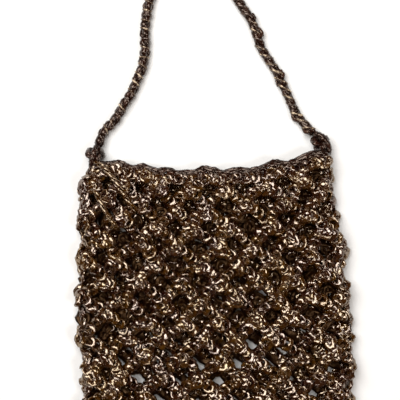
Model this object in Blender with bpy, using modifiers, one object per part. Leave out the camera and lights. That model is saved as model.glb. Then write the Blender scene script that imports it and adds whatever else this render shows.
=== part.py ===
"""A shoulder bag crocheted from metallic leather lace, lying flat on its back.

The pouch is one net of knotted arches worked in the round, closed along the bottom.
A crocheted strap is tied to its two top corners with a knot at each end.
Metres, +Z up: +X is the bag's right side, +Y its mouth, and Z = 0 the surface it lies on.
"""

import math

import bmesh
import bpy
import numpy as np

# Net: half columns and rows count knots, and a knot stands wherever their sum is odd
COLUMNS = 14
ROWS = 15
COLUMN_PITCH = 0.0440
ROW_PITCH = 0.0214
HALF_TURN = 2 * COLUMNS
FOLD_PHASE = 0.12

# How wide the arches are, at the mouth and at the bottom
HALF_RIB_TOP = 0.0070
HALF_RIB_BOTTOM = 0.0061
HALF_RIB_SPREAD = 0.0005
RIM_WIDTH = 0.0055

# Wall heights over the smooth inside: the front stands up in knots, the back lies flat
FRONT_WALL = {
    "knot": 0.0094,
    "falling rib": 0.0086,
    "rising rib": 0.0068,
    "corner": 0.0062,
    "side": 0.0050,
    "rim": 0.0058,
}
BACK_WALL = {
    "knot": 0.0080,
    "falling rib": 0.0080,
    "rising rib": 0.0080,
    "corner": 0.0080,
    "side": 0.0058,
    "rim": 0.0072,
}
WALL_MAX = max(FRONT_WALL.values())

# The hollow between front and back
INNER_FLOOR = BACK_WALL["knot"]
INNER_GAP = 0.0070
FOLD_RADIUS = INNER_GAP / 2
OUTLINE_TO_FOLD = 0.0060

# Where the drawing's own origin lies from the middle of the pouch
CENTRE_X = -0.00055
CENTRE_Y = -0.00671

# Side edges: net row, left edge and right edge
SIDE_ROW, SIDE_LEFT, SIDE_RIGHT = 0, 1, 2
SIDES = (
    (0, -0.1390, 0.1275),
    (1, -0.1500, 0.1320),
    (3, -0.1550, 0.1395),
    (5, -0.1560, 0.1460),
    (7, -0.1565, 0.1510),
    (9, -0.1565, 0.1560),
    (11, -0.1530, 0.1565),
    (13, -0.1515, 0.1560),
    (15, -0.1470, 0.1520),
)

# The mouth's edge, sagging between the strap's two ends: across, along
MOUTH_X, MOUTH_Y = 0, 1
MOUTH = (
    (-0.1380, 0.1480),
    (-0.1220, 0.1520),
    (-0.0900, 0.1475),
    (-0.0400, 0.1413),
    (0.0130, 0.1425),
    (0.0530, 0.1460),
    (0.0690, 0.1500),
    (0.0915, 0.1535),
    (0.1070, 0.1600),
    (0.1250, 0.1625),
)
BOTTOM_Y = -0.1730
BOTTOM_CORNER_RISE = 0.0070

# The back has slid down a little behind the front
BACK_SLIP = 0.0115
BACK_SLIP_FADES_FROM = 11.0

# Low swells of the front: height per whole swell, waves across and down in radians
FRONT_SWELL = 0.0009
SWELL_WAVES = ((9.0, 5.0), (-4.0, 23.0))

# Unevenness: share of a column, share of a row, waves round the girth, waves down, turn
WAVE_S, WAVE_T, WAVE_ROUND, WAVE_DOWN, WAVE_TURN = range(5)
WAVES = (
    (0.070, 0.060, 2, 1.7, 0.4),
    (0.050, -0.080, 3, -2.6, 1.9),
    (-0.040, 0.070, 5, 3.4, 3.1),
    (0.035, 0.050, 7, -4.9, 5.2),
)

# Strap: a crocheted chain, thick and thin at each link
STRAP_WIDTH = 0.0120
STRAP_LINK = 0.0096
STRAP_THIN = 0.84
STRAP_LOBES = 3
STRAP_LOBE_RISE = 0.10
STRAP_SIDES = 9
STRAP_REST = 0.00605
STRAP_TURN = 0.55
STRAP_TURN_STEPS = 9

# Its route, from the left knot to the right: across, along, rise off the surface
STRAP_ROUTE = (
    (-0.1318, 0.1730, 0.0033),
    (-0.1241, 0.1904, 0.0006),
    (-0.1140, 0.2010, 0.0000),
    (-0.1000, 0.2235, 0.0000),
    (-0.0928, 0.2360, 0.0000),
    (-0.0838, 0.2576, 0.0000),
    (-0.0805, 0.2690, 0.0000),
    (-0.0788, 0.2912, 0.0000),
    (-0.0792, 0.3040, 0.0000),
    (-0.0765, 0.3248, 0.0000),
    (-0.0698, 0.3539, 0.0000),
    (-0.0642, 0.3730, 0.0000),
    (-0.0552, 0.3898, 0.0000),
    (-0.0440, 0.4008, 0.0000),
    (-0.0306, 0.4043, 0.0000),
    (-0.0171, 0.3976, 0.0000),
    (-0.0059, 0.3858, 0.0000),
    (0.0109, 0.3595, 0.0000),
    (0.0260, 0.3360, 0.0000),
    (0.0333, 0.3248, 0.0000),
    (0.0411, 0.3130, 0.0000),
    (0.0489, 0.2912, 0.0000),
    (0.0534, 0.2800, 0.0000),
    (0.0680, 0.2576, 0.0000),
    (0.0792, 0.2352, 0.0000),
    (0.0893, 0.2128, 0.0000),
    (0.0968, 0.2016, 0.0003),
    (0.1100, 0.1867, 0.0030),
)

# Knots that tie the strap on: name, middle, half size and turn about Z
KNOTS = (
    ("strap_knot_left", (-0.1352, 0.1625, 0.0100), (0.0128, 0.0104, 0.0100), 0.5),
    ("strap_knot_right", (0.1174, 0.1759, 0.0105), (0.0126, 0.0118, 0.0102), -0.7),
)
KNOT_BALL = 0.86
KNOT_BALL_SEGMENTS = 14
KNOT_BALL_RINGS = 9
KNOT_TURN_RADIUS = 0.34
KNOT_TURN_STEPS = 16
KNOT_TURN_SIDES = 7
KNOT_TURNS = (0.9, -0.9)

# Fineness of the work: welding distance, and how near a count must be to a half to be one
WELD = 1e-6
HALF_SNAP = 5e-5
CURVE_STEPS = 40
LACE_COLOUR = (0.075, 0.045, 0.028, 1.0)
LACE_METALLIC = 0.75
LACE_ROUGHNESS = 0.34


def clear_scene():
    """Removes whatever the scene starts with."""
    for obj in list(bpy.data.objects):
        bpy.data.objects.remove(obj, do_unlink=True)


def new_collection(name):
    collection = bpy.data.collections.new(name)
    bpy.context.scene.collection.children.link(collection)
    return collection


def lace_material(name, shade):
    """Bronze-coated leather, a little lighter or darker from piece to piece."""
    material = bpy.data.materials.new(name)
    material.use_nodes = True
    surface = material.node_tree.nodes["Principled BSDF"]
    colour = [channel * shade for channel in LACE_COLOUR[:3]] + [1.0]
    surface.inputs["Base Color"].default_value = colour
    surface.inputs["Metallic"].default_value = LACE_METALLIC
    surface.inputs["Roughness"].default_value = LACE_ROUGHNESS
    return material


def smooth_table(at, table, key, value):
    """The table's value at each place, as a smooth curve through its rows."""
    xs = np.array([row[key] for row in table])
    ys = np.array([row[value] for row in table])
    slopes = np.gradient(ys, xs)
    at = np.clip(at, xs[0], xs[-1])
    i = np.clip(np.searchsorted(xs, at) - 1, 0, len(xs) - 2)
    span = xs[i + 1] - xs[i]
    u = (at - xs[i]) / span
    first = (1 + 2 * u) * (1 - u) ** 2 * ys[i] + u * (1 - u) ** 2 * slopes[i] * span
    second = u * u * (3 - 2 * u) * ys[i + 1] + u * u * (u - 1) * slopes[i + 1] * span
    return first + second


def ease(u):
    """A soft step from 0 to 1."""
    u = np.clip(u, 0.0, 1.0)
    return u * u * (3 - 2 * u)


def uneven(s, t):
    """Column and row of a point of the net, shifted as hand work and handling leave it."""
    shift_s = np.zeros_like(s)
    shift_t = np.zeros_like(t)
    for wave in WAVES:
        angle = 2 * math.pi * (wave[WAVE_ROUND] * s / COLUMNS + wave[WAVE_DOWN] * t / ROWS)
        shift_s += wave[WAVE_S] * np.sin(angle + wave[WAVE_TURN])
        shift_t += wave[WAVE_T] * np.cos(angle + wave[WAVE_TURN])
    inside = ease(t / 2) * ease((ROWS - t) / 2)
    return s + shift_s, t + shift_t * inside


def on_pouch(s, t):
    """Points of the pouch's inside for a column s round the girth and a row t from the mouth.

    The girth runs over the front from the left fold, round the right fold and back
    under the back. Gives the points and how far each belongs to the front, 0 to 1.
    """
    s, t = uneven(s, t)
    left = smooth_table(t, SIDES, SIDE_ROW, SIDE_LEFT) + OUTLINE_TO_FOLD
    right = smooth_table(t, SIDES, SIDE_ROW, SIDE_RIGHT) - OUTLINE_TO_FOLD
    radius = FOLD_RADIUS
    flat = right - left - 2 * radius
    quarter = math.pi * radius / 2
    girth = 2 * flat + 4 * quarter
    arc = ((s + FOLD_PHASE) / COLUMNS % 1.0) * girth

    x = left + radius + arc - quarter
    z = np.full_like(arc, radius)
    turn = arc / radius
    at_start = arc < quarter
    x = np.where(at_start, left + radius - radius * np.cos(turn), x)
    z = np.where(at_start, radius * np.sin(turn), z)
    past_right = arc - quarter - flat
    turn = past_right / radius
    on_right = past_right > 0
    x = np.where(on_right, right - radius + radius * np.sin(turn), x)
    z = np.where(on_right, radius * np.cos(turn), z)
    past_back = past_right - 2 * quarter
    on_back = past_back > 0
    x = np.where(on_back, right - radius - past_back, x)
    z = np.where(on_back, -radius, z)
    past_left = past_back - flat
    turn = past_left / radius
    on_left = past_left > 0
    x = np.where(on_left, left + radius - radius * np.sin(turn), x)
    z = np.where(on_left, -radius * np.cos(turn), z)

    front = (z + radius) / (2 * radius)
    across = (x - left) / (right - left)
    down = t / ROWS
    mouth = smooth_table(x, MOUTH, MOUTH_X, MOUTH_Y)
    bottom = BOTTOM_Y + BOTTOM_CORNER_RISE * (2 * across - 1) ** 4
    y = mouth * (1 - down) + bottom * down
    fade = 1 - ease((t - BACK_SLIP_FADES_FROM) / (ROWS - BACK_SLIP_FADES_FROM))
    y -= BACK_SLIP * (1 - front) * np.sin(math.pi * np.clip(across, 0, 1)) ** 0.5 * fade
    swell = 1 + sum(np.sin(a * across + b * down) / 2 for a, b in SWELL_WAVES)
    z = INNER_FLOOR + radius + z + FRONT_SWELL * swell * ease(2 * front - 1)
    return np.stack([x - CENTRE_X, y - CENTRE_Y, z], axis=-1), front


def flat_point(bm, half_column, row):
    """A vertex of the flat net."""
    return bm.verts.new((half_column / 2 * COLUMN_PITCH, -row * ROW_PITCH, 0.0))


def cell(bm, corners):
    """A face between knots, with a point halfway along each of its arches."""
    ring = []
    for (i, j), (next_i, next_j) in zip(corners, corners[1:] + corners[:1]):
        ring.append(flat_point(bm, i, j))
        ring.append(flat_point(bm, (i + next_i) / 2, (j + next_j) / 2))
    face = bm.faces.new(ring[::-1])
    face.normal_update()
    return face


def half_rib(column, row):
    """Half an arch's width, wider near the mouth and a little different in each cell."""
    share = row / ROWS
    spread = HALF_RIB_SPREAD * math.sin(2.3 * column + 1.7 * row)
    return HALF_RIB_TOP * (1 - share) + HALF_RIB_BOTTOM * share + spread


def flat_net(bm):
    """The whole net laid out flat, its diamonds open, its edge rows filled."""
    for row in range(1, ROWS):
        for i in range(row % 2, HALF_TURN, 2):
            diamond = cell(bm, [(i, row - 1), (i + 1, row), (i, row + 1), (i - 1, row)])
            bmesh.ops.inset_individual(
                bm, faces=[diamond], thickness=half_rib(i, row), use_even_offset=True
            )
            bm.faces.remove(diamond)
    webs = [
        cell(bm, [(i - 1, 0), (i + 1, 0), (i, 1)]) for i in range(0, HALF_TURN, 2)
    ]
    webs += [
        cell(bm, [(i, ROWS - 1), (i + 1, ROWS), (i - 1, ROWS)])
        for i in range(1, HALF_TURN, 2)
    ]
    bmesh.ops.poke(bm, faces=webs)
    rim = -RIM_WIDTH / ROW_PITCH
    for i in range(HALF_TURN):
        ring = [(i, 0), (i, rim), (i + 1, rim), (i + 1, 0)]
        bm.faces.new([flat_point(bm, *place) for place in ring[::-1]])


def kind_of(half_column, row):
    """What a point of the flat net is: knot, falling or rising rib, corner, side or rim.

    A falling rib runs down to the right as the front is seen, and lies on top there.
    """
    if row < -0.01:
        return "rim"
    near_i, near_j = round(half_column), round(row)
    candidates = [
        (near_i + di, near_j + dj) for di in (-1, 0, 1) for dj in (-1, 0, 1)
    ]
    knots = [(i, j) for i, j in candidates if (i + j) % 2 == 1]
    step = np.array([COLUMN_PITCH / 2, ROW_PITCH])
    here = np.array([half_column, row])
    to_knot = min(np.linalg.norm((here - place) * step) for place in np.array(knots))
    middle = np.floor(here) + 0.5
    to_rib = np.linalg.norm((here - middle) * step)
    if row in (0.0, float(ROWS)):
        to_rib = abs(here[0] - near_i) * step[0] if (near_i + near_j) % 2 == 0 else 1.0
    if to_knot < WELD:
        return "knot"
    if to_rib < WELD:
        falls = int(np.floor(here).sum()) % 2 == 1
        return "falling rib" if falls else "rising rib"
    return "corner" if to_knot < to_rib else "side"


def snapped(counts):
    """The counts, with those that are a half or a whole but for rounding made exact."""
    halves = np.round(counts * 2) / 2
    return np.where(np.abs(counts - halves) < HALF_SNAP, halves, counts)


def wrap_net(bm, wall):
    """Carries the flat net onto the pouch and notes each point's wall height."""
    flat = np.array([vert.co for vert in bm.verts])
    half_columns = snapped(flat[:, 0] / COLUMN_PITCH * 2)
    rows = snapped(-flat[:, 1] / ROW_PITCH)
    points, front = on_pouch(half_columns / 2, rows)
    for vert, place, share, i, row in zip(bm.verts, points, front, half_columns, rows):
        kind = kind_of(i, row)
        vert.co = place
        vert[wall] = FRONT_WALL[kind] * share + BACK_WALL[kind] * (1 - share)


def close_bottom(bm):
    """Joins front and back along the last row, as the first chain of the work does."""
    bm.verts.ensure_lookup_table()
    steps = np.arange(HALF_TURN) / 2
    places, _ = on_pouch(steps, np.full(HALF_TURN, float(ROWS)))
    verts = np.array([vert.co for vert in bm.verts])
    nearest = [int(np.argmin(np.linalg.norm(verts - place, axis=1))) for place in places]
    ring = [bm.verts[index] for index in nearest]
    half = HALF_TURN // 2
    chains = []
    for start in (0, half):
        for i in range(start, start + half - 1):
            chains.append(bm.edges.get((ring[i], ring[i + 1])))
    bmesh.ops.bridge_loops(bm, edges=chains)


def make_pouch(collection):
    """The pouch: one net wrapped round, closed at the bottom, open at the mouth."""
    bm = bmesh.new()
    wall = bm.verts.layers.float.new("wall")
    flat_net(bm)
    wrap_net(bm, wall)
    bmesh.ops.remove_doubles(bm, verts=bm.verts, dist=WELD * 10)
    close_bottom(bm)
    bmesh.ops.recalc_face_normals(bm, faces=bm.faces)
    heights = [vert[wall] for vert in bm.verts]
    mesh = bpy.data.meshes.new("pouch")
    bm.to_mesh(mesh)
    bm.free()
    pouch = bpy.data.objects.new("pouch", mesh)
    collection.objects.link(pouch)
    group = pouch.vertex_groups.new(name="wall")
    for index, height in enumerate(heights):
        group.add([index], height / WALL_MAX, "REPLACE")
    thick = pouch.modifiers.new("lace thickness", "SOLIDIFY")
    thick.thickness = WALL_MAX
    thick.offset = 1.0
    thick.vertex_group = "wall"
    thick.use_rim = True
    facets = pouch.modifiers.new("facets", "TRIANGULATE")
    facets.quad_method = "SHORTEST_DIAGONAL"
    mesh.materials.append(lace_material("bronze lace, net", 1.0))
    return pouch


def along(route, step):
    """Points every step along a smooth curve through the route's own points."""
    route = np.array(route) + (-CENTRE_X, -CENTRE_Y, STRAP_REST)
    ends = np.vstack([2 * route[0] - route[1], route, 2 * route[-1] - route[-2]])
    u = np.linspace(0, 1, CURVE_STEPS, endpoint=False)[:, None]
    pieces = []
    for a, b, c, d in zip(ends, ends[1:], ends[2:], ends[3:]):
        bend = (2 * a - 5 * b + 4 * c - d) * u**2 + (3 * (b - c) + d - a) * u**3
        pieces.append(0.5 * (2 * b + (c - a) * u + bend))
    fine = np.vstack(pieces + [route[-1:]])
    lengths = np.concatenate([[0], np.cumsum(np.linalg.norm(np.diff(fine, axis=0), axis=1))])
    count = int(round(lengths[-1] / step))
    at = np.linspace(0, lengths[-1], count + 1)
    return np.stack([np.interp(at, lengths, fine[:, axis]) for axis in range(3)], axis=1)


def lobed_profile(collection):
    """The strap's section: three strands of lace side by side."""
    curve = bpy.data.curves.new("strap section", "CURVE")
    curve.dimensions = "2D"
    spline = curve.splines.new("POLY")
    spline.points.add(STRAP_SIDES - 1)
    for i, point in enumerate(spline.points):
        angle = -2 * math.pi * i / STRAP_SIDES
        radius = STRAP_WIDTH / 2 * (1 - STRAP_LOBE_RISE * (1 - math.cos(STRAP_LOBES * angle)) / 2)
        point.co = (radius * math.cos(angle), radius * math.sin(angle), 0.0, 1.0)
    spline.use_cyclic_u = True
    guide = bpy.data.objects.new("strap section", curve)
    guide.hide_render = True
    guide.display_type = "WIRE"
    collection.objects.link(guide)
    return guide


def make_strap(collection, guides):
    """The strap: a lobed cord, thick and thin by turns, turning slowly as it goes."""
    points = along(STRAP_ROUTE, STRAP_LINK / 2)
    curve = bpy.data.curves.new("strap", "CURVE")
    curve.dimensions = "3D"
    curve.twist_mode = "Z_UP"
    curve.bevel_mode = "OBJECT"
    curve.bevel_object = lobed_profile(guides)
    curve.use_fill_caps = True
    spline = curve.splines.new("POLY")
    spline.points.add(len(points) - 1)
    for i, (point, place) in enumerate(zip(spline.points, points)):
        point.co = (*place, 1.0)
        point.radius = STRAP_THIN if i % 2 else 1.0
        point.tilt = STRAP_TURN * math.sin(i / STRAP_TURN_STEPS)
    strap = bpy.data.objects.new("strap", curve)
    collection.objects.link(strap)
    curve.materials.append(lace_material("bronze lace, strap", 0.9))
    return strap


def make_knot(collection, name, middle, half_size, turn):
    """A tied knot: a ball of lace with two turns of the strap crossing round it."""
    bpy.ops.mesh.primitive_uv_sphere_add(
        segments=KNOT_BALL_SEGMENTS, ring_count=KNOT_BALL_RINGS, radius=KNOT_BALL
    )
    knot = bpy.context.object
    knot.name = name
    knot.data.name = name
    turns = []
    for tilt in KNOT_TURNS:
        bpy.ops.mesh.primitive_torus_add(
            major_radius=1 - KNOT_TURN_RADIUS,
            minor_radius=KNOT_TURN_RADIUS,
            major_segments=KNOT_TURN_STEPS,
            minor_segments=KNOT_TURN_SIDES,
            rotation=(math.pi / 2, tilt, 0.0),
        )
        turns.append(bpy.context.object)
    for ring in turns:
        joined = knot.modifiers.new("turn of lace", "BOOLEAN")
        joined.operation = "UNION"
        joined.object = ring
    bpy.context.view_layer.update()
    graph = bpy.context.evaluated_depsgraph_get()
    mesh = bpy.data.meshes.new_from_object(knot.evaluated_get(graph))
    knot.modifiers.clear()
    knot.data = mesh
    for ring in turns:
        bpy.data.objects.remove(ring, do_unlink=True)
    for holder in list(knot.users_collection):
        holder.objects.unlink(knot)
    collection.objects.link(knot)
    knot.scale = half_size
    knot.rotation_euler = (0.0, 0.0, turn)
    knot.location = (middle[0] - CENTRE_X, middle[1] - CENTRE_Y, middle[2])
    knot.data.materials.clear()
    knot.data.materials.append(lace_material("bronze lace, " + name, 0.95))
    return knot


def main():
    clear_scene()
    bag = new_collection("crochet leather bag")
    guides = new_collection("guides")
    make_pouch(bag)
    make_strap(bag, guides)
    for name, middle, half_size, turn in KNOTS:
        make_knot(bag, name, middle, half_size, turn)


main()
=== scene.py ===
"""A shoulder bag crocheted from bronze-foiled leather lace, lying flat on its back.

The pouch is an arch net: rounds of arches, each arch a row of interlocked stitches,
with a thin ground of pulled-through lace under them. The strap is one crocheted chain,
tied to the pouch's two top corners with a wound knot at each end.
Lengths are in metres unless a name or a comment says otherwise, and +Z is up.
"""

import logging
import math
from dataclasses import dataclass, replace
from enum import Enum
from typing import Iterable

import bpy
import numpy as np
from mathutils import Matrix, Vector


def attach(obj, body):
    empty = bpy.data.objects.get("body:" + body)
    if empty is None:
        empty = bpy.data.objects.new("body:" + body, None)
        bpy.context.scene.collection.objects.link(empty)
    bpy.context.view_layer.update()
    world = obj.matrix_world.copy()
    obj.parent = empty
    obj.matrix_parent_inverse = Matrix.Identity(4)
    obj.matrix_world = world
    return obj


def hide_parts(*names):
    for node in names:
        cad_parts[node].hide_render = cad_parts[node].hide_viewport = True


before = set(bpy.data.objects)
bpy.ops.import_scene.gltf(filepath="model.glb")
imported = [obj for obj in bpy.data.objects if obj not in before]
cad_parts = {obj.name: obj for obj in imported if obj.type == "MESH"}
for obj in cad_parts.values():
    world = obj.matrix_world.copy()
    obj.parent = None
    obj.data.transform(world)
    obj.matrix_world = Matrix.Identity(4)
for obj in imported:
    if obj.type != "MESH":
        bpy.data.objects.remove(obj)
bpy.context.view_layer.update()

MM = 0.001
LOG = logging.getLogger("crochet bag")

# The lowest that any lace lies over the surface under the bag
REST = 0.3 * MM

# Headings over the net, as small steps of column and row
ROUND_THE_GIRTH = (0.05, 0.0)
DOWN = (0.0, 0.05)
SLANTING = (0.04, 0.04)

# Corners of a quad of lace: rings on, sides on
CORNERS = ((0, 0), (1, 0), (1, 1), (0, 1))

# How far one lace's creases lie from the next one's, in millimetres along and round it
CREASE_SHIFT = (37.0, 11.0)

Array = np.ndarray


class Face(Enum):
    """Which side of the flat pouch a stitch lies on."""

    FRONT = "front"
    BACK = "back"


def linear(hex_colour: str) -> tuple[float, float, float, float]:
    """Turns an sRGB hex colour into linear light.

    Args:
        hex_colour: six hex digits with a leading hash.

    Returns:
        Red, green, blue and an alpha of 1.
    """
    digits = hex_colour.lstrip("#")
    channels = np.array([int(digits[i:i + 2], 16) for i in (0, 2, 4)]) / 255
    low = channels / 12.92
    high = ((channels + 0.055) / 1.055) ** 2.4
    red, green, blue = np.where(channels <= 0.04045, low, high)
    return float(red), float(green), float(blue), 1.0


def unit(vectors: Array) -> Array:
    """Vectors scaled to length one along their last axis."""
    lengths = np.linalg.norm(vectors, axis=-1, keepdims=True)
    return vectors / np.maximum(lengths, 1e-12)


def ease(u: Array) -> Array:
    """A soft step: three u squared less two u cubed, held between 0 and 1."""
    u = np.clip(u, 0.0, 1.0)
    return u * u * (3 - 2 * u)


def smooth_table(at: Array, keys: Array, values: Array) -> Array:
    """Reads a table as a smooth curve, a cubic between rows with their mean slopes.

    Args:
        at: places to read.
        keys: the rows' places, rising.
        values: the rows' values.

    Returns:
        The curve's value at each place.
    """
    slopes = np.gradient(values, keys)
    at = np.clip(at, keys[0], keys[-1])
    i = np.clip(np.searchsorted(keys, at) - 1, 0, len(keys) - 2)
    span = keys[i + 1] - keys[i]
    u = (at - keys[i]) / span
    first = (1 + 2 * u) * (1 - u) ** 2 * values[i] + u * (1 - u) ** 2 * slopes[i] * span
    second = u * u * (3 - 2 * u) * values[i + 1] + u * u * (u - 1) * slopes[i + 1] * span
    return first + second


def add_node(
    tree: bpy.types.NodeTree, kind: str, settings: dict | None = None, links: dict | None = None
) -> bpy.types.Node:
    """Adds one shader node with its settings and its incoming links.

    Args:
        tree: the material's node tree.
        kind: the node's type name, less the "ShaderNode" that starts it.
        settings: attributes or inputs, by name or number, with their values.
        links: inputs, by name or number, with the output sockets that feed them.

    Returns:
        The new node.
    """
    node = tree.nodes.new("ShaderNode" + kind)
    for name, value in (settings or {}).items():
        if isinstance(name, str) and hasattr(node, name):
            setattr(node, name, value)
        else:
            node.inputs[name].default_value = value
    for name, source in (links or {}).items():
        tree.links.new(source, node.inputs[name])
    return node


@dataclass(frozen=True)
class FoiledLeather:
    """Leather lace: brown hide split, coated with bronze foil, cut, folded and worked.

    To the eye it is dark glossy leather with a warm sheen: the foil creases into small
    flat facets, each a mirror of its own tilt, so a few flash pale gold while the rest
    stay espresso brown. IOR and roughness start from varnished leather's, about 1.5 and
    0.3, and are matched to glints as strong as foil's.
    """

    name: str
    hide: str = "#1E0704"
    bronze: str = "#331A02"
    gold: str = "#4A2E06"
    foil_pale: str = "#F5E0D2"
    foil_gold: str = "#F7DFBD"
    ior: float = 2.8
    roughness: float = 0.06

    # The foil's real creases are about 1 mm apart, too fine to show: facets are coarser
    facet_long_mm: float = 5.0
    facet_wide_mm: float = 3.6
    facet_depth_mm: float = 2.2
    fold_mm: float = 1.8
    fold_depth_mm: float = 0.45
    fold_stretch: float = 0.12

    # Foil wear: size of its patches, where on their grey each colour sits, and how far a
    # lace's tone moves them
    wear_mm: float = 5.0
    wear_stops: tuple[float, float, float] = (0.40, 0.56, 0.74)
    tone_spread: float = 0.24
    tone_shift: float = 0.0

    def material(self) -> bpy.types.Material:
        """Builds the finish as a node material.

        Returns:
            The material.
        """
        material = bpy.data.materials.new(self.name)
        material.use_nodes = True
        tree = material.node_tree
        surface = tree.nodes["Principled BSDF"]
        place = add_node(tree, "TexCoord")
        tone = add_node(tree, "Attribute", {"attribute_name": "tone"})

        # Facets: each cell of the creased foil, long with the lace, is a small tilted plane
        cell = (1 / self.facet_long_mm, 1 / self.facet_wide_mm, 1.0)
        middle_grey = (0.5, 0.5, 0.5)
        laid = add_node(tree, "VectorMath", {"operation": "MULTIPLY", 1: cell}, {0: place.outputs["UV"]})
        cells = add_node(tree, "TexVoronoi",
                         {"voronoi_dimensions": "2D", "Scale": 1.0, "Randomness": 1.0},
                         {"Vector": laid.outputs[0]})
        away = add_node(tree, "VectorMath", {"operation": "SUBTRACT"},
                        {0: laid.outputs[0], 1: cells.outputs["Position"]})
        lean = add_node(tree, "VectorMath", {"operation": "SUBTRACT", 1: middle_grey},
                        {0: cells.outputs["Color"]})
        plane = add_node(tree, "VectorMath", {"operation": "DOT_PRODUCT"},
                         {0: away.outputs[0], 1: lean.outputs[0]})
        facets = add_node(tree, "Bump", {"Strength": 1.0, "Distance": self.facet_depth_mm * MM},
                          {"Height": plane.outputs["Value"]})

        # Folds: long creases that follow the lace, stretched along its length
        crease = (self.fold_stretch / self.fold_mm, 1 / self.fold_mm, 1.0)
        drawn = add_node(tree, "VectorMath", {"operation": "MULTIPLY", 1: crease}, {0: place.outputs["UV"]})
        folds = add_node(tree, "TexNoise",
                         {"Scale": 1.0, "Detail": 2.0, "Roughness": 0.6, "Distortion": 0.4},
                         {"Vector": drawn.outputs[0]})
        creased = add_node(tree, "Bump", {"Strength": 1.0, "Distance": self.fold_depth_mm * MM},
                           {"Height": folds.outputs["Fac"], "Normal": facets.outputs["Normal"]})

        # Wear: patches rubbed through to the hide, fewer on a lace of a bright tone
        worn = add_node(tree, "TexNoise",
                        {"Scale": 1 / (self.wear_mm * MM), "Detail": 3.0, "Roughness": 0.65},
                        {"Vector": place.outputs["Object"]})
        lowest = self.tone_shift - self.tone_spread / 2
        toned = add_node(tree, "Math", {"operation": "MULTIPLY_ADD", 1: self.tone_spread, 2: lowest},
                         {0: tone.outputs["Fac"]})
        wear = add_node(tree, "Math", {"operation": "ADD"}, {0: worn.outputs["Fac"], 1: toned.outputs[0]})
        ramp = add_node(tree, "ValToRGB", {}, {"Fac": wear.outputs[0]})
        stops = ramp.color_ramp.elements
        stops[0].position, stops[0].color = self.wear_stops[0], linear(self.hide)
        stops[1].position, stops[1].color = self.wear_stops[2], linear(self.gold)
        stops.new(self.wear_stops[1]).color = linear(self.bronze)
        foil = add_node(tree, "Mix",
                        {"data_type": "RGBA", 6: linear(self.foil_pale), 7: linear(self.foil_gold)},
                        {0: tone.outputs["Fac"]})
        tree.links.new(foil.outputs[2], surface.inputs["Specular Tint"])
        tree.links.new(ramp.outputs["Color"], surface.inputs["Base Color"])
        tree.links.new(creased.outputs["Normal"], surface.inputs["Normal"])
        surface.inputs["Specular IOR Level"].default_value = 0.5
        surface.inputs["IOR"].default_value = self.ior
        surface.inputs["Roughness"].default_value = self.roughness
        return material


@dataclass(frozen=True)
class PaintedBoard:
    """Board rolled with matt white paint: a soft even white without a gloss."""

    name: str = "matt white board, painted"
    colour: str = "#F3F3F1"
    roughness: float = 0.8

    def material(self) -> bpy.types.Material:
        """Builds the finish.

        Returns:
            The material.
        """
        material = bpy.data.materials.new(self.name)
        material.use_nodes = True
        surface = material.node_tree.nodes["Principled BSDF"]
        surface.inputs["Base Color"].default_value = linear(self.colour)
        surface.inputs["Roughness"].default_value = self.roughness
        return material


# Worked loosely in the net, the foil catches the light from many facets
CROCHETED = FoiledLeather("bronze-foiled leather lace, crocheted")

# Drawn tight in strap, knots and edging, it looks browner, with softer and paler glints
DRAWN_TIGHT = FoiledLeather(
    "bronze-foiled leather lace, drawn tight",
    hide="#160906",
    bronze="#2A130C",
    gold="#3A1D13",
    foil_pale="#FFE4D2",
    foil_gold="#FFE4C8",
    ior=1.65,
    roughness=0.14,
)

# Painted highlight on the turns that close the strap's links: a pale cream base colour stands in for the
# glint on each turn, so they show as broad cream and gold bars
FOIL_PAINTED_HIGHLIGHT = FoiledLeather(
    "bronze-foiled leather lace, painted highlight",
    hide="#1E0E08",
    bronze="#3E281A",
    gold="#EED9B8",
    ior=2.2,
    roughness=0.25,
    facet_depth_mm=0.9,
    tone_shift=-0.02,
)

# The lace's inner side, dull and with little foil; its near-black colours are partly painted shade, as dark
# as the hollows under the stitches and the pouch's gaps look
INNER_SIDE_PAINTED_SHADE = FoiledLeather(
    "bronze-foiled leather lace, dull inner side, painted shade",
    hide="#0F0200",
    bronze="#170500",
    gold="#1C0900",
    foil_pale="#FFC890",
    foil_gold="#FFC890",
    ior=1.45,
    roughness=0.34,
)


@dataclass
class Frames:
    """Where stitches lie: a middle and three crossing directions for each."""

    middle: Array
    along: Array
    across: Array
    up: Array

    def turned(self, spin: Array, pitch: Array) -> "Frames":
        """Stitches turned a little in their own planes, then leant.

        Args:
            spin: turn about up for each stitch, in radians.
            pitch: turn about across for each stitch, in radians.

        Returns:
            The turned frames.
        """
        cos, sin = np.cos(spin)[:, None], np.sin(spin)[:, None]
        along = self.along * cos + self.across * sin
        across = self.across * cos - self.along * sin
        cos, sin = np.cos(pitch)[:, None], np.sin(pitch)[:, None]
        leant, up = along * cos + self.up * sin, self.up * cos - along * sin
        return Frames(self.middle, leant, across, up)

    def only(self, chosen: Array) -> "Frames":
        """The frames that a mask chooses."""
        return Frames(self.middle[chosen], self.along[chosen], self.across[chosen], self.up[chosen])


@dataclass(frozen=True)
class Lace:
    """The lace as one part of the bag uses it: a folded section, an ellipse to the eye.

    The rest is for long strands, not for stitches: wobble is the share by which one
    swells and shrinks by chance, tone is how bright its foil is, from 0 to 1, its ends
    narrow to the end share, and its section rocks to and fro by a sine of the points.
    """

    width: float = 6.4 * MM
    thickness: float = 2.8 * MM
    sides: int = 6
    wobble: float = 0.08
    tone: float = 0.2
    end_share: float = 0.4
    rock: float = 0.25
    rock_rate: float = 0.9


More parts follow.
